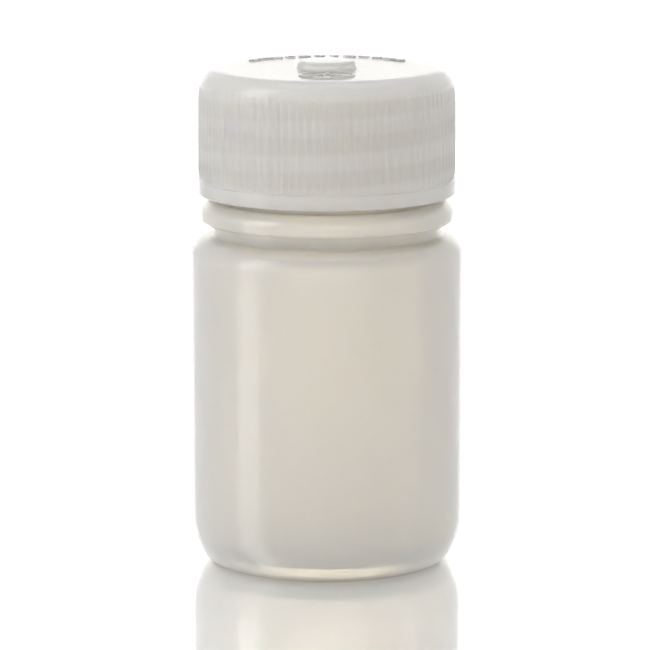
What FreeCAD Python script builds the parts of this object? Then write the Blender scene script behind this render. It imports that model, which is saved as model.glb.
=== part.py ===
import FreeCAD, Part
import math
import os
import Sketcher

# A small wide-mouth screw-cap bottle for reagents: a blow-moulded bottle, a ribbed screw cap and
# the thin sealing disc held inside the cap. Millimetres, +Z up, origin on the axis at the level of
# the surface that the bottle stands on.

SIZES = [
    # The bottle's body.
    ("body_diameter", 34.5),         # straight wall, outside
    ("wall", 1.2),                   # body wall
    ("shoulder_height", 41.7),       # where the straight wall would meet the shoulder
    ("shoulder_rise", 0.2),          # from there up to the foot of the neck
    ("shoulder_radius", 2.7),        # rounding between wall and shoulder
    ("shoulder_land", 1.4),          # least width of the shoulder, with a neck nearly as wide
    ("heel_height", 3.6),            # height of the heel's slope
    ("heel_inset", 2.1),             # how far the heel draws in
    ("heel_upper_radius", 9.0),
    ("heel_lower_radius", 1.8),
    ("heel_inner_inset", 1.1),       # how far the inside of the heel draws in
    ("heel_inner_radius", 2.5),
    ("floor_inner_radius", 0.8),     # rounding between the heel's inside and the floor
    ("ring_width", 2.0),             # standing ring, heel corner to its inner edge
    ("push_up", 0.9),                # hollow of the base inside the standing ring
    # The neck.
    ("waist_depth", 1.6),            # waist between shoulder and flange, inside the flange's edge
    ("waist_height", 1.6),
    ("flange_reach", 3.15),          # how far the flange stands out from the neck
    ("flange_thickness", 2.8),
    ("flange_slope", 1.1),           # height and depth of the sloped upper edge
    ("neck_wall", 1.5),              # bore to the root of the thread
    ("rim_land", 2.2),               # middle of the thread's upper end to the sealing rim
    ("rim_radius", 0.45),
    # The screw thread that the neck and the cap share.
    ("thread_diameter", 28.0),       # crest of the neck's thread
    ("thread_depth", 1.1),
    ("thread_pitch", 4.233),         # six turns per inch
    ("thread_turns", 1.7),
    ("thread_root_width", 2.2),
    ("thread_crest_width", 0.9),
    ("thread_play", 0.45),           # axial clearance on each flank
    ("thread_gap", 0.2),             # radial clearance at root and at crest
    # The sealing disc.
    ("liner_thickness", 1.0),
    ("liner_inset", 0.3),            # thread's crest to the disc's edge
    ("liner_gap", 0.05),             # clearance above and below the disc
    ("liner_side_gap", 0.15),
    ("bead_grip", 0.3),              # how far the cap's bead reaches under the disc
    ("bead_height", 0.5),
    # The cap.
    ("cap_edge_gap", 0.7),           # flange top to the cap's lower edge
    ("edge_land", 0.3),              # cap's lower edge to its thread
    ("cap_top_thickness", 1.45),
    ("skirt_wall", 1.85),            # root of the cap's thread to the surface between the ribs
    ("band_step", 0.25),             # how far the smooth band below the ribs stands proud
    ("band_height", 1.8),
    ("skirt_draft", 0.1),            # how far the skirt leans in towards the top
    ("cap_corner_radius", 2.2),
    ("rib_height", 0.2),
    ("rib_width", 0.5),
    ("rib_count", 100),
    ("rib_fade", 2.2),               # cap top to the ribs' upper end
    ("button_diameter", 7.4),        # round button in the middle of the top
    ("button_height", 1.1),
    ("button_edge", 0.3),            # rounding of the button's rim
]

BURY = "0.15"  # how far a thread or rib runs into the wall it is moulded on

# Radii.
BODY_R = "Sizes.body_diameter / 2"
INNER_R = BODY_R + " - Sizes.wall"
HEEL_R = BODY_R + " - Sizes.heel_inset"
THREAD_R = "Sizes.thread_diameter / 2"
NECK_R = THREAD_R + " - Sizes.thread_depth"
BORE_R = NECK_R + " - Sizes.neck_wall"
FLANGE_R = NECK_R + " + Sizes.flange_reach"
WAIST_R = "min(%s - Sizes.waist_depth, %s - Sizes.shoulder_land)" % (FLANGE_R, BODY_R)
SHOULDER_ROUNDING = "min(Sizes.shoulder_radius, %s - %s - 0.1)" % (BODY_R, WAIST_R)
CAP_ROOT_R = THREAD_R + " + Sizes.thread_gap"
CAP_CREST_R = NECK_R + " + Sizes.thread_gap"
LINER_R = THREAD_R + " - Sizes.liner_inset"
SEAT_R = LINER_R + " + Sizes.liner_side_gap"
BEAD_R = LINER_R + " - Sizes.bead_grip"
SKIRT_R = CAP_ROOT_R + " + Sizes.skirt_wall"
BAND_R = SKIRT_R + " + Sizes.band_step"

# Half widths of the cap's thread: the neck's groove less the play on each flank.
CUT_R = CAP_ROOT_R + " + " + BURY
SLOPE = "(Sizes.thread_root_width - Sizes.thread_crest_width) / (2 * Sizes.thread_depth)"
AT_NECK = "Sizes.thread_pitch / 2 - Sizes.thread_play - Sizes.thread_root_width / 2"
AT_CREST = "(%s + %s * Sizes.thread_gap)" % (AT_NECK, SLOPE)
AT_CUT = "(%s + %s * (%s - (%s)))" % (AT_CREST, SLOPE, CUT_R, CAP_CREST_R)

# Heights, each from the one below it. The cap's thread runs half a pitch below the neck's.
FLOOR_Z = "Sizes.push_up + Sizes.wall"
WAIST_Z = "Sizes.shoulder_height + Sizes.shoulder_rise"
FLANGE_Z = WAIST_Z + " + Sizes.waist_height"
FLANGE_TOP_Z = FLANGE_Z + " + Sizes.flange_thickness"
CAP_EDGE_Z = FLANGE_TOP_Z + " + Sizes.cap_edge_gap"
BAND_Z = CAP_EDGE_Z + " + Sizes.band_height"
CAP_THREAD_Z = CAP_EDGE_Z + " + Sizes.edge_land + " + AT_CUT
THREAD_Z = CAP_THREAD_Z + " + Sizes.thread_pitch / 2"
RIM_Z = THREAD_Z + " + Sizes.thread_pitch * Sizes.thread_turns + Sizes.rim_land"
LINER_Z = RIM_Z + " + Sizes.liner_gap"
CAP_UNDER_Z = LINER_Z + " + Sizes.liner_thickness + Sizes.liner_gap"
CAP_TOP_Z = CAP_UNDER_Z + " + Sizes.cap_top_thickness"


def origin_feature(body, role):
    """The body's own origin plane or axis with this role."""
    return next(feature for feature in body.Origin.OriginFeatures if feature.Role == role)


def new_body(doc, name):
    body = doc.addObject("PartDesign::Body", name)
    body.Label = name
    body.Placement = FreeCAD.Placement()
    return body


def plane_sketch(body, name, role):
    """An empty sketch on the body's own XZ or YZ plane: radius across, height up."""
    sketch = body.newObject("Sketcher::SketchObject", name)
    sketch.AttachmentSupport = [(origin_feature(body, role), "")]
    sketch.MapMode = "FlatFace"
    return sketch


def bind(sketch, constraint, name, expression):
    """Add a named constraint whose value is read from the sheet."""
    index = sketch.addConstraint(constraint)
    sketch.renameConstraint(index, name)
    sketch.setExpression("Constraints." + name, expression)


def pin_point(sketch, geometry, end, name, place, expressions):
    """Hold a point at its place: on the sketch's axes by lying on them, elsewhere by distances."""
    axes = ((-2, "DistanceX", "across_"), (-1, "DistanceY", "up_"))
    for (axis, kind, prefix), value, expression in zip(axes, place, expressions):
        if value == 0:
            sketch.addConstraint(Sketcher.Constraint("PointOnObject", geometry, end, axis))
        else:
            rule = Sketcher.Constraint(kind, -1, 1, geometry, end, value)
            bind(sketch, rule, prefix + name, expression)


def rounding(before, corner, after, radius):
    """Where a rounding leaves both sides of a corner, and its centre."""
    towards_before = (before - corner).normalize()
    towards_after = (after - corner).normalize()
    half_angle = towards_before.getAngle(towards_after) / 2
    reach = radius / math.tan(half_angle)
    centre = corner + (towards_before + towards_after).normalize() * (radius / math.sin(half_angle))
    return corner + towards_before * reach, corner + towards_after * reach, centre


def corner_arc(start, end, centre, radius):
    """The short arc from start to end, and whether it runs anticlockwise."""
    anticlockwise = (start - centre).cross(end - centre).z > 0
    first, last = (start, end) if anticlockwise else (end, start)
    angles = [math.atan2(point.y - centre.y, point.x - centre.x) for point in (first, last)]
    circle = Part.Circle(centre, FreeCAD.Vector(0, 0, 1), radius)
    return Part.ArcOfCircle(circle, angles[0], angles[1]), anticlockwise


def draw_outline(sketch, corners):
    """Draw a closed outline. Each corner is (across, up) or (across, up, rounding radius)."""
    sheet = sketch.Document.getObject("Sizes")
    values = [[float(sheet.evalExpression(text)) for text in corner] for corner in corners]
    points = [FreeCAD.Vector(value[0], value[1], 0) for value in values]
    count = len(corners)
    leave, arrive, centres = list(points), list(points), {}
    for i, value in enumerate(values):
        if len(value) == 3:
            around = points[i - 1], points[i], points[(i + 1) % count]
            arrive[i], leave[i], centres[i] = rounding(*around, value[2])
    lines = [
        sketch.addGeometry(Part.LineSegment(leave[i], arrive[(i + 1) % count]), False)
        for i in range(count)
    ]
    for i, (corner, value) in enumerate(zip(corners, values)):
        before, after, name = lines[i - 1], lines[i], format(i, "02d")
        if i not in centres:
            sketch.addConstraint(Sketcher.Constraint("Coincident", before, 2, after, 1))
            pin_point(sketch, after, 1, name, value, corner)
            continue
        shape, anticlockwise = corner_arc(arrive[i], leave[i], centres[i], value[2])
        arc = sketch.addGeometry(shape, False)
        arc_start, arc_end = (1, 2) if anticlockwise else (2, 1)
        sketch.addConstraint(Sketcher.Constraint("Tangent", before, 2, arc, arc_start))
        sketch.addConstraint(Sketcher.Constraint("Tangent", arc, arc_end, after, 1))
        bind(sketch, Sketcher.Constraint("Radius", arc, value[2]), "round_" + name, corner[2])
        apex = sketch.addGeometry(Part.Point(points[i]), True)
        pin_point(sketch, apex, 1, name, value[:2], corner[:2])
        sketch.addConstraint(Sketcher.Constraint("PointOnObject", apex, 1, before))
        sketch.addConstraint(Sketcher.Constraint("PointOnObject", apex, 1, after))


def revolve(body, name, corners):
    """Turn an outline right round the body's vertical axis."""
    sketch = plane_sketch(body, name + "_outline", "XZ_Plane")
    draw_outline(sketch, corners)
    feature = body.newObject("PartDesign::Revolution", name)
    feature.Profile = sketch
    feature.ReferenceAxis = (sketch, ["V_Axis"])
    feature.Angle = 360
    sketch.Visibility = False
    return feature


def wind_thread(body, name, corners):
    """Wind an outline up the shared right-hand helix, which starts at the back."""
    sketch = plane_sketch(body, name + "_outline", "YZ_Plane")
    draw_outline(sketch, corners)
    thread = body.newObject("PartDesign::AdditiveHelix", name)
    thread.Profile = sketch
    thread.ReferenceAxis = (origin_feature(body, "Z_Axis"), [""])
    thread.Mode = "pitch-turns-angle"
    thread.setExpression("Pitch", "Sizes.thread_pitch")
    thread.setExpression("Turns", "Sizes.thread_turns")
    thread.LeftHanded = False
    sketch.Visibility = False
    return thread


def make_bottle(doc):
    """The blow-moulded bottle: heel, straight wall, shoulder, flange and threaded neck."""
    body = new_body(doc, "bottle")
    inner_shoulder_z = "Sizes.shoulder_height - 1.5 * Sizes.wall"
    outside = [
        ("0", "Sizes.push_up"),
        (HEEL_R + " - Sizes.ring_width - 2 * Sizes.push_up", "Sizes.push_up", "Sizes.push_up"),
        (HEEL_R + " - Sizes.ring_width", "0"),
        (HEEL_R, "0", "Sizes.heel_lower_radius"),
        (BODY_R, "Sizes.heel_height", "Sizes.heel_upper_radius"),
        (BODY_R, "Sizes.shoulder_height", SHOULDER_ROUNDING),
        (WAIST_R, WAIST_Z),
        (WAIST_R, FLANGE_Z),
        (FLANGE_R, FLANGE_Z),
        (FLANGE_R, FLANGE_TOP_Z + " - Sizes.flange_slope"),
        (FLANGE_R + " - Sizes.flange_slope", FLANGE_TOP_Z),
        (NECK_R, FLANGE_TOP_Z),
        (NECK_R, RIM_Z, "Sizes.rim_radius"),
    ]
    inside = [
        (BORE_R, RIM_Z, "Sizes.rim_radius"),
        (BORE_R, WAIST_Z + " + Sizes.wall / 2"),
        (INNER_R, inner_shoulder_z, "Sizes.shoulder_radius - Sizes.wall"),
        (INNER_R, "Sizes.heel_height + Sizes.wall / 4", "Sizes.heel_inner_radius"),
        (INNER_R + " - Sizes.heel_inner_inset", FLOOR_Z, "Sizes.floor_inner_radius"),
        ("0", FLOOR_Z),
    ]
    revolve(body, "shell", outside + inside)
    root_r = NECK_R + " - " + BURY
    wind_thread(body, "neck_thread", [
        (root_r, THREAD_Z + " - Sizes.thread_root_width / 2"),
        (THREAD_R, THREAD_Z + " - Sizes.thread_crest_width / 2"),
        (THREAD_R, THREAD_Z + " + Sizes.thread_crest_width / 2"),
        (root_r, THREAD_Z + " + Sizes.thread_root_width / 2"),
    ])
    return body


def make_liner(doc):
    """The sealing disc between the rim and the cap's underside."""
    body = new_body(doc, "cap_liner")
    revolve(body, "disc", [
        ("0", LINER_Z),
        (LINER_R, LINER_Z),
        (LINER_R, LINER_Z + " + Sizes.liner_thickness"),
        ("0", LINER_Z + " + Sizes.liner_thickness"),
    ])
    return body


def make_cap(doc):
    """The screw cap: top with a round button, liner seat and bead, threaded and ribbed skirt."""
    body = new_body(doc, "screw_cap")
    button_r = "Sizes.button_diameter / 2"
    button_z = CAP_TOP_Z + " + Sizes.button_height"
    bead_z = LINER_Z + " - Sizes.liner_gap"
    skirt_top_r = SKIRT_R + " - Sizes.skirt_draft"
    revolve(body, "cap_wall", [
        ("0", CAP_UNDER_Z),
        (SEAT_R, CAP_UNDER_Z),
        (SEAT_R, bead_z),
        (BEAD_R, bead_z + " - Sizes.bead_height / 2"),
        (CAP_ROOT_R, bead_z + " - Sizes.bead_height"),
        (CAP_ROOT_R, CAP_EDGE_Z),
        (BAND_R, CAP_EDGE_Z),
        (BAND_R, BAND_Z),
        (SKIRT_R, BAND_Z),
        (skirt_top_r, CAP_TOP_Z, "Sizes.cap_corner_radius"),
        (button_r, CAP_TOP_Z),
        (button_r, button_z, "Sizes.button_edge"),
        ("0", button_z),
    ])
    wind_thread(body, "cap_thread", [
        (CAP_CREST_R, CAP_THREAD_Z + " - " + AT_CREST),
        (CUT_R, CAP_THREAD_Z + " - " + AT_CUT),
        (CUT_R, CAP_THREAD_Z + " + " + AT_CUT),
        (CAP_CREST_R, CAP_THREAD_Z + " + " + AT_CREST),
    ])
    add_ribs(body, skirt_top_r)
    return body


def add_ribs(body, skirt_top_r):
    """The finger ribs: one ridge up the skirt, repeated round it, dying out under the top."""
    rib_top_z = CAP_TOP_Z + " - Sizes.rib_fade"
    sketch = plane_sketch(body, "rib_outline", "XZ_Plane")
    draw_outline(sketch, [
        (skirt_top_r + " - " + BURY, BAND_Z + " - " + BURY),
        (SKIRT_R + " + Sizes.rib_height", BAND_Z + " - " + BURY),
        (skirt_top_r + " + Sizes.rib_height", rib_top_z + " - 2 * Sizes.rib_height"),
        (skirt_top_r, rib_top_z),
        (skirt_top_r + " - " + BURY, rib_top_z),
    ])
    rib = body.newObject("PartDesign::Pad", "rib")
    rib.Profile = sketch
    rib.SideType = "Symmetric"
    rib.setExpression("Length", "Sizes.rib_width")
    rib.Refine = False
    ribs = body.newObject("PartDesign::PolarPattern", "ribs")
    ribs.Originals = [rib]
    ribs.Axis = (origin_feature(body, "Z_Axis"), [""])
    ribs.Angle = 360
    ribs.setExpression("Occurrences", "Sizes.rib_count")
    ribs.Refine = False
    body.Tip = ribs
    sketch.Visibility = False


def make_sheet(doc):
    sheet = doc.addObject("Spreadsheet::Sheet", "Sizes")
    for row, (alias, value) in enumerate(SIZES, 1):
        sheet.set("A%d" % row, alias)
        sheet.set("B%d" % row, str(value))
        sheet.setAlias("B%d" % row, alias)
    doc.recompute()


def check(doc, bodies):
    """Stop before anything is written if a feature failed or a shape isn't one closed solid."""
    for item in doc.Objects:
        if "Invalid" in item.State or "Error" in item.State:
            raise RuntimeError(item.Name + " failed to build: " + ", ".join(item.State))
    for body in bodies:
        shape = body.Shape
        if shape.isNull() or not shape.isValid() or len(shape.Solids) != 1:
            raise RuntimeError(body.Label + " isn't one valid solid")


doc = FreeCAD.newDocument("reagent_bottle")
make_sheet(doc)
bodies = [make_bottle(doc), make_liner(doc), make_cap(doc)]
doc.recompute()
check(doc, bodies)
os.makedirs("parts", exist_ok=True)
for body in bodies:
    body.Shape.exportStep("parts/" + body.Label + ".step")
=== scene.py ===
import math

import bpy
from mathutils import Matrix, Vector


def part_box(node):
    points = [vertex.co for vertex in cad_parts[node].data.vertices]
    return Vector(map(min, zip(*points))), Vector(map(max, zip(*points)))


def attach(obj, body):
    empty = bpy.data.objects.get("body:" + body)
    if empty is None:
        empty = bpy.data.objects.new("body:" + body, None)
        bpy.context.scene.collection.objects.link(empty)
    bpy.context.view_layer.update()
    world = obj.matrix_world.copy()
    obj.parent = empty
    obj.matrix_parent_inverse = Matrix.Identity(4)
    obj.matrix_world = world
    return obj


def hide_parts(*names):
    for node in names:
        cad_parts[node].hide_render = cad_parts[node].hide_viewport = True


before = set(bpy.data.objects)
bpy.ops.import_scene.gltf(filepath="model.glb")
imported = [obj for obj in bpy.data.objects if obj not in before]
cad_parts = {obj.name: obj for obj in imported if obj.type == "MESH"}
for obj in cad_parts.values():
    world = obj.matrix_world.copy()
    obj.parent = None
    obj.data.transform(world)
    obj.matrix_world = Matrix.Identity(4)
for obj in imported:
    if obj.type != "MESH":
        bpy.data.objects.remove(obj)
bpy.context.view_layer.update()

# The bottle: one blow-moulded piece of natural polyethylene, milky and a little waxy. It has a flat
# standing ring round a hollow base, a soft heel, a straight wall, a rounded shoulder, a waist and a
# flange, and a neck with a right-hand thread. Lengths here are in millimetres.
MM = 0.001
bottle_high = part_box("bottle")[1] / MM
body_r = bottle_high.x
rim_z = bottle_high.z
wall = 1.2
push_up = 0.9
heel_height = 3.6
heel_r = body_r - 2.1
shoulder_z = 41.7
waist_z = 41.9
flange_z = 43.5
flange_top_z = 46.3
flange_slope = 1.1
neck_r = 12.9
bore_r = 11.4
flange_r = 16.05
waist_r = 14.45
rim_rounding = 0.45
thread_depth = 1.1
thread_pitch = 4.233
thread_turns = 1.7
thread_z = 50.84
thread_start = math.pi / 2


def rounded(corners, step=math.radians(9)):
    """Points along a line of (radius, height, rounding) corners, with a small arc at each corner."""
    points = [Vector(corners[0][:2])]
    for before, corner, after in zip(corners, corners[1:], corners[2:]):
        here = Vector(corner[:2])
        back = (Vector(before[:2]) - here).normalized()
        on = (Vector(after[:2]) - here).normalized()
        half = back.angle(on) / 2
        reach = corner[2] / math.tan(half)
        centre = here + (back + on).normalized() * (corner[2] / math.sin(half))
        first, last = here + back * reach - centre, here + on * reach - centre
        turn = first.angle_signed(last)
        count = max(1, math.ceil(abs(turn) / step))
        for i in range(count + 1):
            angle = -turn * i / count
            points.append(centre + Vector((
                first.x * math.cos(angle) - first.y * math.sin(angle),
                first.x * math.sin(angle) + first.y * math.cos(angle),
            )))
    points.append(Vector(corners[-1][:2]))
    return points


def filled(points, gap):
    """The same line with extra points wherever two lie further apart than the gap."""
    line = [points[0]]
    for before, after in zip(points, points[1:]):
        count = max(1, math.ceil((after - before).length / gap))
        line += [before.lerp(after, i / count) for i in range(1, count + 1)]
    return line


def ease(value):
    """A soft step from 0 to 1."""
    value = min(max(value, 0.0), 1.0)
    return value * value * (3 - 2 * value)


def thread_swell(angle, height, middle, crest, root, depth):
    """How far a thread stands out of the wall: rounded flanks, and ends that fade into the wall."""
    swell = 0.0
    first_turn = ((angle - thread_start) % (2 * math.pi)) / (2 * math.pi)
    for turn in range(int(thread_turns) + 2):
        along = first_turn + turn
        if along > thread_turns:
            continue
        away = abs(height - middle - along * thread_pitch)
        flank = ease((root / 2 - away) / ((root - crest) / 2))
        fade = ease(min(along, thread_turns - along) / 0.06)
        swell = max(swell, depth * flank * fade)
    return swell


def even_angles(count):
    return [2 * math.pi * i / count for i in range(count)]


def turned_rings(line, angles, swell):
    """One ring of points for each (radius, height) on the line; swell(angle, height, i) widens it."""
    rings = []
    for i, (radius, height) in enumerate(line):
        if radius < 1e-6:
            rings.append([(0.0, 0.0, height * MM)])
            continue
        ring = []
        for angle in angles:
            r = radius + swell(angle, height, i)
            ring.append((r * math.cos(angle) * MM, r * math.sin(angle) * MM, height * MM))
        rings.append(ring)
    return rings


def skin(vertices, faces, rings):
    """Add the rings to a mesh's lists and join each to the next; a ring of one point is a pole."""
    starts = []
    for ring in rings:
        starts.append(len(vertices))
        vertices.extend(ring)
    for low, high, ring, above in zip(starts, starts[1:], rings, rings[1:]):
        count = max(len(ring), len(above))
        for j in range(count):
            k = (j + 1) % count
            if len(ring) == 1:
                faces.append((low, high + k, high + j))
            elif len(above) == 1:
                faces.append((low + j, low + k, high))
            else:
                faces.append((low + j, low + k, high + k, high + j))
    return starts


def smooth_piece(name, vertices, faces, body, node):
    """A smooth-shaded object that rides on a body and stands for its CAD node."""
    mesh = bpy.data.meshes.new(name)
    mesh.from_pydata(vertices, [], faces)
    mesh.update()
    mesh.shade_smooth()
    piece = bpy.data.objects.new(name, mesh)
    bpy.context.scene.collection.objects.link(piece)
    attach(piece, body)
    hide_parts(node)
    return piece


outside = rounded([
    (0, push_up, 0),
    (heel_r - 3.8, push_up, 1.5),
    (heel_r - 2.0, 0, 0.6),
    (heel_r, 0, 1.8),
    (body_r, heel_height, 9.0),
    (body_r, shoulder_z, 2.7),
    (waist_r, waist_z, 0.25),
    (waist_r, flange_z, 0.3),
    (flange_r, flange_z, 0.55),
    (flange_r, flange_top_z - flange_slope, 1.2),
    (flange_r - flange_slope, flange_top_z, 0.9),
    (neck_r, flange_top_z, 1.0),
    (neck_r, rim_z, rim_rounding),
    ((neck_r + bore_r) / 2, rim_z, 0),
])
inside = rounded([
    ((neck_r + bore_r) / 2, rim_z, 0),
    (bore_r, rim_z, rim_rounding),
    (bore_r, waist_z + 0.6, 1.2),
    (body_r - wall, shoulder_z - 1.8, 1.5),
    (body_r - wall, heel_height + wall / 4, 2.5),
    (body_r - wall - 1.1, push_up + wall, 0.8),
    (0, push_up + wall, 0),
])
low_part = filled([point for point in outside if point.y < flange_top_z + 0.1], 2.5)
neck_part = filled([point for point in outside if point.y >= flange_top_z + 0.1], 0.16)
bottle_line = low_part + neck_part + filled(inside, 3.0)[1:]
neck_rows = range(len(low_part), len(low_part) + len(neck_part))


def bottle_swell(angle, height, i):
    """The neck's thread, and the fine witness line where the two halves of the mould met."""
    if i in neck_rows:
        return thread_swell(angle, height, thread_z, 0.9, 2.2, thread_depth)
    on_wall = i < len(low_part) and 2.0 < height < shoulder_z
    line = min(abs(math.sin(angle)) * body_r / 0.22, 1.0)
    return -0.03 * line if on_wall else 0.0


seam_angles = [side + offset / body_r for side in (0, math.pi) for offset in (-0.2, -0.1, 0.1, 0.2)]
bottle_angles = sorted({round(angle % (2 * math.pi), 9) for angle in even_angles(320) + seam_angles})
vertices, faces = [], []
skin(vertices, faces, turned_rings(bottle_line, bottle_angles, bottle_swell))
bottle = smooth_piece("bottle_shell", vertices, faces, "bottle", "bottle")


# Moulded plastic is never quite even: faint clouds in the colour, a skin like orange peel, and fine
# scuffs from handling that dull the gloss. The bottle, cap and liner share this, each at its own scale.
def node(tree, kind, **settings):
    made = tree.nodes.new(kind)
    for name, value in settings.items():
        setattr(made, name, value)
    return made


skin_group = bpy.data.node_groups.new("moulded_skin", "ShaderNodeTree")
for name, kind, default in (
    ("Clear tint", "NodeSocketColor", (0.9, 0.88, 0.84, 1)),
    ("Cloudy tint", "NodeSocketColor", (0.86, 0.84, 0.8, 1)),
    ("Cloud scale", "NodeSocketFloat", 60.0),
    ("Gloss", "NodeSocketFloat", 0.3),
    ("Scuff", "NodeSocketFloat", 0.15),
    ("Peel scale", "NodeSocketFloat", 900.0),
):
    skin_group.interface.new_socket(name, in_out="INPUT", socket_type=kind).default_value = default
for name, kind in (("Color", "NodeSocketColor"), ("Roughness", "NodeSocketFloat"),
                   ("Height", "NodeSocketFloat")):
    skin_group.interface.new_socket(name, in_out="OUTPUT", socket_type=kind)
given = node(skin_group, "NodeGroupInput")
result = node(skin_group, "NodeGroupOutput")
place = node(skin_group, "ShaderNodeTexCoord")
clouds = node(skin_group, "ShaderNodeTexNoise")
clouds.inputs["Detail"].default_value = 3
blend = node(skin_group, "ShaderNodeMix", data_type="RGBA")
peel = node(skin_group, "ShaderNodeTexNoise")
peel.inputs["Detail"].default_value = 2
waves = node(skin_group, "ShaderNodeTexNoise")
waves.inputs["Scale"].default_value = 110
stretch = node(skin_group, "ShaderNodeMapping")
stretch.inputs["Scale"].default_value = (420, 420, 2600)
scuffs = node(skin_group, "ShaderNodeTexNoise")
scuffs.inputs["Detail"].default_value = 4
scuff_mask = node(skin_group, "ShaderNodeMapRange")
scuff_mask.inputs["From Min"].default_value = 0.5
scuff_mask.inputs["From Max"].default_value = 0.75
dulled = node(skin_group, "ShaderNodeMath", operation="MULTIPLY_ADD")
peel_height = node(skin_group, "ShaderNodeMath", operation="MULTIPLY")
peel_height.inputs[1].default_value = 0.25
height_sum = node(skin_group, "ShaderNodeMath", operation="ADD")
for start, end in (
    (place.outputs["Object"], clouds.inputs["Vector"]),
    (place.outputs["Object"], peel.inputs["Vector"]),
    (place.outputs["Object"], waves.inputs["Vector"]),
    (place.outputs["Object"], stretch.inputs["Vector"]),
    (stretch.outputs["Vector"], scuffs.inputs["Vector"]),
    (given.outputs["Cloud scale"], clouds.inputs["Scale"]),
    (given.outputs["Peel scale"], peel.inputs["Scale"]),
    (clouds.outputs["Fac"], blend.inputs["Factor"]),
    (given.outputs["Clear tint"], blend.inputs[6]),
    (given.outputs["Cloudy tint"], blend.inputs[7]),
    (blend.outputs[2], result.inputs["Color"]),
    (scuffs.outputs["Fac"], scuff_mask.inputs["Value"]),
    (scuff_mask.outputs["Result"], dulled.inputs[0]),
    (given.outputs["Scuff"], dulled.inputs[1]),
    (given.outputs["Gloss"], dulled.inputs[2]),
    (dulled.outputs["Value"], result.inputs["Roughness"]),
    (peel.outputs["Fac"], peel_height.inputs[0]),
    (peel_height.outputs["Value"], height_sum.inputs[0]),
    (waves.outputs["Fac"], height_sum.inputs[1]),
    (height_sum.outputs["Value"], result.inputs["Height"]),
):
    skin_group.links.new(start, end)


def moulded_plastic(name, settings, transmission, depth, reach, bump, coat):
    """A milky plastic: light goes in, scatters and comes out warmer; the skin is softly glossy."""
    material = bpy.data.materials.new(name)
    material.use_nodes = True
    tree = material.node_tree
    shader = tree.nodes["Principled BSDF"]
    look = node(tree, "ShaderNodeGroup", node_tree=skin_group)
    for key, value in settings.items():
        look.inputs[key].default_value = value
    relief = node(tree, "ShaderNodeBump")
    relief.inputs["Strength"].default_value = bump
    relief.inputs["Distance"].default_value = 0.05 * MM
    shader.inputs["IOR"].default_value = 1.5
    shader.inputs["Transmission Weight"].default_value = transmission
    shader.inputs["Coat Weight"].default_value = coat
    shader.inputs["Coat Roughness"].default_value = 0.1
    shader.inputs["Subsurface Weight"].default_value = 1.0
    shader.inputs["Subsurface Radius"].default_value = reach
    shader.inputs["Subsurface Scale"].default_value = depth * MM
    tree.links.new(look.outputs["Color"], shader.inputs["Base Color"])
    tree.links.new(look.outputs["Roughness"], shader.inputs["Roughness"])
    tree.links.new(look.outputs["Height"], relief.inputs["Height"])
    tree.links.new(relief.outputs["Normal"], shader.inputs["Normal"])
    return material


bottle.data.materials.append(moulded_plastic("milky_polyethylene", {
    "Clear tint": (0.935, 0.89, 0.805, 1),
    "Cloudy tint": (0.92, 0.87, 0.775, 1),
    "Cloud scale": 45.0,
    "Gloss": 0.3,
    "Scuff": 0.12,
    "Peel scale": 900.0,
}, transmission=0.5, depth=7.0, reach=(1.0, 0.84, 0.62), bump=0.2, coat=0.7))


# The sealing disc: a thin round of white foamed polyethylene, pressed into the top of the cap. Its
# sealing face has a shallow groove where the neck's rim has bedded in.
liner_low, liner_high = (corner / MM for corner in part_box("cap_liner"))
liner_r = liner_high.x
liner_line = rounded([
    (0, liner_low.z, 0),
    (bore_r - 0.2, liner_low.z, 0.3),
    (bore_r, liner_low.z + 0.06, 0.1),
    (neck_r, liner_low.z + 0.06, 0.1),
    (neck_r + 0.2, liner_low.z, 0.1),
    (liner_r, liner_low.z, 0.15),
    (liner_r, liner_high.z, 0.15),
    (0, liner_high.z, 0),
])
vertices, faces = [], []
skin(vertices, faces, turned_rings(filled(liner_line, 1.5), even_angles(160), lambda *_: 0.0))
liner = smooth_piece("sealing_disc", vertices, faces, "liner", "cap_liner")
liner.data.materials.append(moulded_plastic("foamed_liner", {
    "Clear tint": (0.93, 0.93, 0.92, 1),
    "Cloudy tint": (0.88, 0.88, 0.87, 1),
    "Cloud scale": 900.0,
    "Gloss": 0.55,
    "Scuff": 0.2,
    "Peel scale": 3500.0,
}, transmission=0.0, depth=1.0, reach=(1.0, 0.95, 0.9), bump=0.6, coat=0.0))


# The screw cap: injection-moulded natural polypropylene, clearer and glossier than the bottle. Fine
# upright ribs for the fingers die out under its rounded top and stop at a smooth band below; inside
# are the thread and the small bead that holds the sealing disc.
cap_low, cap_high = (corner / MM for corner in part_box("screw_cap"))
edge_z = cap_low.z
button_height = 1.1
top_z = cap_high.z - button_height
button_r = 3.7
band_r = cap_high.x
band_step = 0.25
band_height = 1.8
skirt_lean = 0.1
skirt_r = band_r - band_step
skirt_top_r = skirt_r - skirt_lean
band_z = edge_z + band_height
corner_r = 2.2
rib_height = 0.17
rib_count = 100
rib_segments = 8
cap_segments = rib_count * rib_segments
inner_segments = cap_segments // 4
root_r = 14.2
under_z = liner_high.z + 0.05
bead_z = liner_low.z - 0.05
seat_r = liner_r + 0.15

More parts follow.
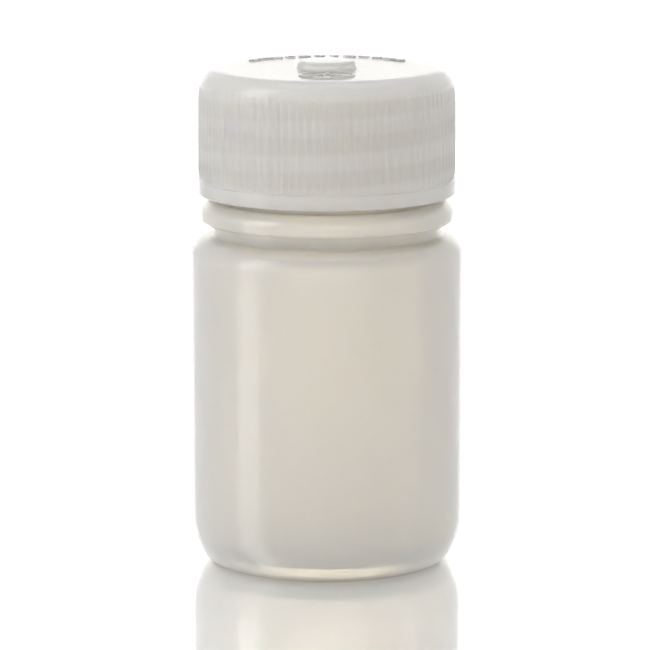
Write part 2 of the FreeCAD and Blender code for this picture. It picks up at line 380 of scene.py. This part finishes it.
cap_inside = filled(rounded([
    (0, under_z, 0),
    (seat_r, under_z, 0.2),
    (seat_r, bead_z, 0.1),
    (liner_r - 0.3, bead_z - 0.25, 0.12),
    (root_r, bead_z - 0.5, 0.2),
    (root_r, edge_z, 0.3),
    (root_r + 0.4, edge_z, 0),
]), 0.2)
cap_outside = filled(rounded([
    (band_r - 0.6, edge_z, 0),
    (band_r, edge_z, 0.3),
    (band_r - 0.03, band_z, 0.1),
    (skirt_r, band_z + 0.1, 0.1),
    (skirt_top_r, top_z, corner_r),
    (button_r, top_z, 0.25),
    (button_r, cap_high.z - 0.15, 0.55),
    (0, cap_high.z, 0),
], math.radians(15)), 0.9)


def rib_swell(angle, height, i):
    """One finger rib's rounded ridge, full on the skirt and fading out below the rounded top."""
    if not band_z - 0.1 < height < top_z - 0.5:
        return 0.0
    phase = (angle * rib_count / (2 * math.pi)) % 1.0
    ridge = max(0.0, math.cos(2 * math.pi * (phase - 0.5))) ** 0.8
    fade = ease((height - band_z - 0.1) / 0.35) * ease((top_z - 1.4 - height) / 2.6)
    return rib_height * ridge * fade


def cap_thread_swell(angle, height, i):
    """The cap's thread stands inwards from the skirt, in the groove of the neck's thread."""
    if not edge_z < height < bead_z - 0.6:
        return 0.0
    return -thread_swell(angle, height, thread_z - thread_pitch / 2, 1.37, 2.67, root_r - 13.1)


vertices, faces = [], []
inner_rings = turned_rings(cap_inside, even_angles(inner_segments), cap_thread_swell)
outer_rings = turned_rings(cap_outside, even_angles(cap_segments), rib_swell)
inner_starts = skin(vertices, faces, inner_rings)
outer_starts = skin(vertices, faces, outer_rings)
for j in range(inner_segments):
    edge = [outer_starts[0] + (4 * j + k) % cap_segments for k in (4, 3, 2, 1, 0)]
    faces.append([inner_starts[-1] + j, inner_starts[-1] + (j + 1) % inner_segments] + edge)
cap = smooth_piece("ribbed_cap", vertices, faces, "cap", "screw_cap")
cap_material = moulded_plastic("clear_polypropylene", {
    "Clear tint": (0.995, 0.98, 0.945, 1),
    "Cloudy tint": (0.985, 0.965, 0.92, 1),
    "Cloud scale": 60.0,
    "Gloss": 0.32,
    "Scuff": 0.14,
    "Peel scale": 1100.0,
}, transmission=0.58, depth=4.5, reach=(1.0, 0.97, 0.93), bump=0.08, coat=0.55)


# Painted shade: faint slanting bands are multiplied darker into the clear skirt's colour where the
# threads lie behind it, standing in for the wall being thicker there so that less light comes through.
# The bands follow the neck's helix from the smooth band up to the rim.
painted_thread_shade_group = bpy.data.node_groups.new("painted_thread_shade", "ShaderNodeTree")
for name, default in (("Pitch", thread_pitch * MM), ("Start height", 0.0),
                      ("Lowest", 0.0), ("Highest", 1.0)):
    painted_thread_shade_group.interface.new_socket(
        name, in_out="INPUT", socket_type="NodeSocketFloat").default_value = default
painted_thread_shade_group.interface.new_socket("Band", in_out="OUTPUT", socket_type="NodeSocketFloat")
given = node(painted_thread_shade_group, "NodeGroupInput")
result = node(painted_thread_shade_group, "NodeGroupOutput")
place = node(painted_thread_shade_group, "ShaderNodeTexCoord")
split = node(painted_thread_shade_group, "ShaderNodeSeparateXYZ")
bearing = node(painted_thread_shade_group, "ShaderNodeMath", operation="ARCTAN2")
turns = node(painted_thread_shade_group, "ShaderNodeMath", operation="DIVIDE")
turns.inputs[1].default_value = 2 * math.pi
rise = node(painted_thread_shade_group, "ShaderNodeMath", operation="SUBTRACT")
pitches = node(painted_thread_shade_group, "ShaderNodeMath", operation="DIVIDE")
phase = node(painted_thread_shade_group, "ShaderNodeMath", operation="SUBTRACT")
wave = node(painted_thread_shade_group, "ShaderNodeMath", operation="PINGPONG")
wave.inputs[1].default_value = 0.5
soft = node(painted_thread_shade_group, "ShaderNodeMapRange", interpolation_type="SMOOTHSTEP")
soft.inputs["From Min"].default_value = 0.12
soft.inputs["From Max"].default_value = 0.36
above = node(painted_thread_shade_group, "ShaderNodeMath", operation="GREATER_THAN")
below = node(painted_thread_shade_group, "ShaderNodeMath", operation="LESS_THAN")
inside_ends = node(painted_thread_shade_group, "ShaderNodeMath", operation="MULTIPLY")
band = node(painted_thread_shade_group, "ShaderNodeMath", operation="MULTIPLY")
for start, end in (
    (place.outputs["Object"], split.inputs["Vector"]),
    (split.outputs["Y"], bearing.inputs[0]),
    (split.outputs["X"], bearing.inputs[1]),
    (bearing.outputs["Value"], turns.inputs[0]),
    (split.outputs["Z"], rise.inputs[0]),
    (given.outputs["Start height"], rise.inputs[1]),
    (rise.outputs["Value"], pitches.inputs[0]),
    (given.outputs["Pitch"], pitches.inputs[1]),
    (pitches.outputs["Value"], phase.inputs[0]),
    (turns.outputs["Value"], phase.inputs[1]),
    (phase.outputs["Value"], wave.inputs[0]),
    (wave.outputs["Value"], soft.inputs["Value"]),
    (split.outputs["Z"], above.inputs[0]),
    (given.outputs["Lowest"], above.inputs[1]),
    (split.outputs["Z"], below.inputs[0]),
    (given.outputs["Highest"], below.inputs[1]),
    (above.outputs["Value"], inside_ends.inputs[0]),
    (below.outputs["Value"], inside_ends.inputs[1]),
    (soft.outputs["Result"], band.inputs[0]),
    (inside_ends.outputs["Value"], band.inputs[1]),
    (band.outputs["Value"], result.inputs["Band"]),
):
    painted_thread_shade_group.links.new(start, end)
tree = cap_material.node_tree
shader = tree.nodes["Principled BSDF"]
plain = shader.inputs["Base Color"].links[0].from_socket
thread_shade = node(tree, "ShaderNodeGroup", node_tree=painted_thread_shade_group)
thread_shade.inputs["Start height"].default_value = (thread_z - thread_pitch / 4) * MM
thread_shade.inputs["Lowest"].default_value = band_z * MM
thread_shade.inputs["Highest"].default_value = (rim_z + 0.3) * MM
# Painted shade: inside the helical bands the cap's colour is multiplied by this darker grey.
shaded = node(tree, "ShaderNodeMix", data_type="RGBA", blend_type="MULTIPLY")
shaded.inputs[7].default_value = (0.9, 0.9, 0.89, 1)
tree.links.new(thread_shade.outputs["Band"], shaded.inputs["Factor"])
tree.links.new(plain, shaded.inputs[6])
tree.links.new(shaded.outputs[2], shader.inputs["Base Color"])
cap.data.materials.append(cap_material)


# Plain raised marks on top of the cap, moulded with it: a ring with three bars towards the front,
# and short bars in an arc behind the button. They stand for moulded marks and say nothing.
mark_height = 0.22
mark_sink = 0.05


def raised_bar(vertices, faces, path, width, height):
    """A low bar with sloping sides and a soft top, laid along a line of points on the cap's top."""
    section = ((-0.5, -mark_sink), (-0.42, 0.6 * height), (-0.25, height),
               (0.25, height), (0.42, 0.6 * height), (0.5, -mark_sink))
    start = len(vertices)
    for i, point in enumerate(path):
        ahead = path[min(i + 1, len(path) - 1)] - path[max(i - 1, 0)]
        across = Vector((-ahead.y, ahead.x)).normalized()
        for side, up in section:
            spot = (point + across * side * width) * MM
            vertices.append((spot.x, spot.y, (top_z + up) * MM))
    size = len(section)
    for i in range(len(path) - 1):
        for k in range(size):
            low, high = start + i * size, start + (i + 1) * size
            faces.append((low + k, high + k, high + (k + 1) % size, low + (k + 1) % size))
    faces.append([start + k for k in range(size)])
    faces.append([start + (len(path) - 1) * size + k for k in reversed(range(size))])


def arc_path(centre, radius, start, end, count):
    """Points along an arc on the cap's top, angles in degrees from +X."""
    angles = [math.radians(start + (end - start) * i / count) for i in range(count + 1)]
    return [centre + Vector((math.cos(a), math.sin(a))) * radius for a in angles]


marks, mark_faces = [], []
ring_centre = Vector((0, -8.1))
ring_r = 3.3
raised_bar(marks, mark_faces, arc_path(ring_centre, ring_r, 0, 360, 48), 0.45, mark_height)
for turn in (90, 210, 330):
    inner, outer = (
        ring_centre + Vector((math.cos(math.radians(turn)), math.sin(math.radians(turn)))) * reach
        for reach in (0.7, 2.2)
    )
    raised_bar(marks, mark_faces, [inner, inner.lerp(outer, 0.5), outer], 0.7, mark_height)
for i in range(12):
    middle = 141 - i * 9.3
    half = (2.6, 3.6, 3.1)[i % 3]
    path = arc_path(Vector((0, 0)), 11.9, middle + half, middle - half, 6)
    raised_bar(marks, mark_faces, path, 0.9, mark_height)
cap_marks = smooth_piece("cap_top_marks", marks, mark_faces, "cap", "screw_cap")
cap_marks.data.materials.append(cap_material)


# The studio: a glossy white sheet to stand on and a white surround, darker in front than behind. A
# tall softbox stands at the left, a large one hangs overhead, and a warm one is at the right. A wide
# fill in front lights the plastic without a reflection, and a small warm card glows close behind.
def light_panel(name, place, target, width, height, power, colour):
    data = bpy.data.lights.new(name, "AREA")
    data.shape = "RECTANGLE"
    data.size, data.size_y = width, height
    data.energy = power
    data.color = colour
    lamp = bpy.data.objects.new(name, data)
    lamp.location = place
    lamp.rotation_euler = (Vector(target) - Vector(place)).to_track_quat("-Z", "Y").to_euler()
    bpy.context.scene.collection.objects.link(lamp)
    return lamp


middle = (0, 0, 0.032)
light_panel("left_softbox", (-0.30, -0.12, 0.18), middle, 0.14, 0.36, 0.42, (1.0, 0.98, 0.95))
light_panel("top_softbox", (0.0, 0.05, 0.55), middle, 0.5, 0.4, 0.8, (1.0, 0.99, 0.97))
light_panel("right_softbox", (0.45, -0.15, 0.12), middle, 0.2, 0.4, 0.2, (1.0, 0.88, 0.74))
light_panel("back_softbox", (0.0, 0.45, 0.09), middle, 0.5, 0.16, 0.15, (1.0, 0.95, 0.88))
front_fill = light_panel("front_fill", (0.05, -0.5, 0.06), middle, 0.7, 0.36, 2.2, (1.0, 0.96, 0.9))
front_fill.visible_glossy = False
light_panel("warm_card", (0.0, 0.05, 0.021), (0, 0, 0.019), 0.026, 0.031, 0.005, (1.0, 0.78, 0.45))

world = bpy.data.worlds.new("white_surround")
world.use_nodes = True
bpy.context.scene.world = world
tree = world.node_tree
surround = tree.nodes["Background"]
path_kind = node(tree, "ShaderNodeLightPath")
direction = node(tree, "ShaderNodeTexCoord")
split = node(tree, "ShaderNodeSeparateXYZ")
front_to_back = node(tree, "ShaderNodeMapRange")
front_to_back.inputs["From Min"].default_value = -0.5
front_to_back.inputs["From Max"].default_value = 0.3
front_to_back.inputs["To Min"].default_value = 0.4
front_to_back.inputs["To Max"].default_value = 1.05
level = node(tree, "ShaderNodeMapRange")
level.inputs["To Max"].default_value = 0.35
tree.links.new(direction.outputs["Generated"], split.inputs["Vector"])
tree.links.new(split.outputs["Y"], front_to_back.inputs["Value"])
tree.links.new(front_to_back.outputs["Result"], level.inputs["To Min"])
tree.links.new(path_kind.outputs["Is Diffuse Ray"], level.inputs["Value"])
tree.links.new(level.outputs["Result"], surround.inputs["Strength"])
surround.inputs["Color"].default_value = (1, 1, 1, 1)

floor_mesh = bpy.data.meshes.new("floor")
half_width = 3.0
floor_mesh.from_pydata(
    [(x * half_width, y * half_width, 0) for x, y in ((-1, -1), (1, -1), (1, 1), (-1, 1))],
    [], [(0, 1, 2, 3)])
floor = bpy.data.objects.new("floor", floor_mesh)
floor.location.z = -0.00002
bpy.context.scene.collection.objects.link(floor)
sheet = bpy.data.materials.new("white_acrylic")
sheet.use_nodes = True
shader = sheet.node_tree.nodes["Principled BSDF"]
shader.inputs["Base Color"].default_value = (0.97, 0.97, 0.97, 1)
shader.inputs["Metallic"].default_value = 0.9
shader.inputs["Emission Color"].default_value = (1, 1, 1, 1)
shader.inputs["Emission Strength"].default_value = 0.12
shader.inputs["Roughness"].default_value = 0.06
floor_mesh.materials.append(sheet)

# The camera looks a little down on the bottle through a long lens.
camera_data = bpy.data.cameras.new("camera")
camera = bpy.data.objects.new("camera", camera_data)
distance = 0.56
pitch = math.radians(10.25)
aim = Vector((-0.00023, 0, 0.030))
camera.location = aim + Vector((0, -math.cos(pitch), math.sin(pitch))) * distance
camera.rotation_euler = (math.pi / 2 - pitch, 0, 0)
camera_data.sensor_width = 36
camera_data.lens = 244.6
camera_data.clip_end = 20
bpy.context.scene.collection.objects.link(camera)
bpy.context.scene.camera = camera
bpy.context.scene.view_settings.view_transform = "Standard"
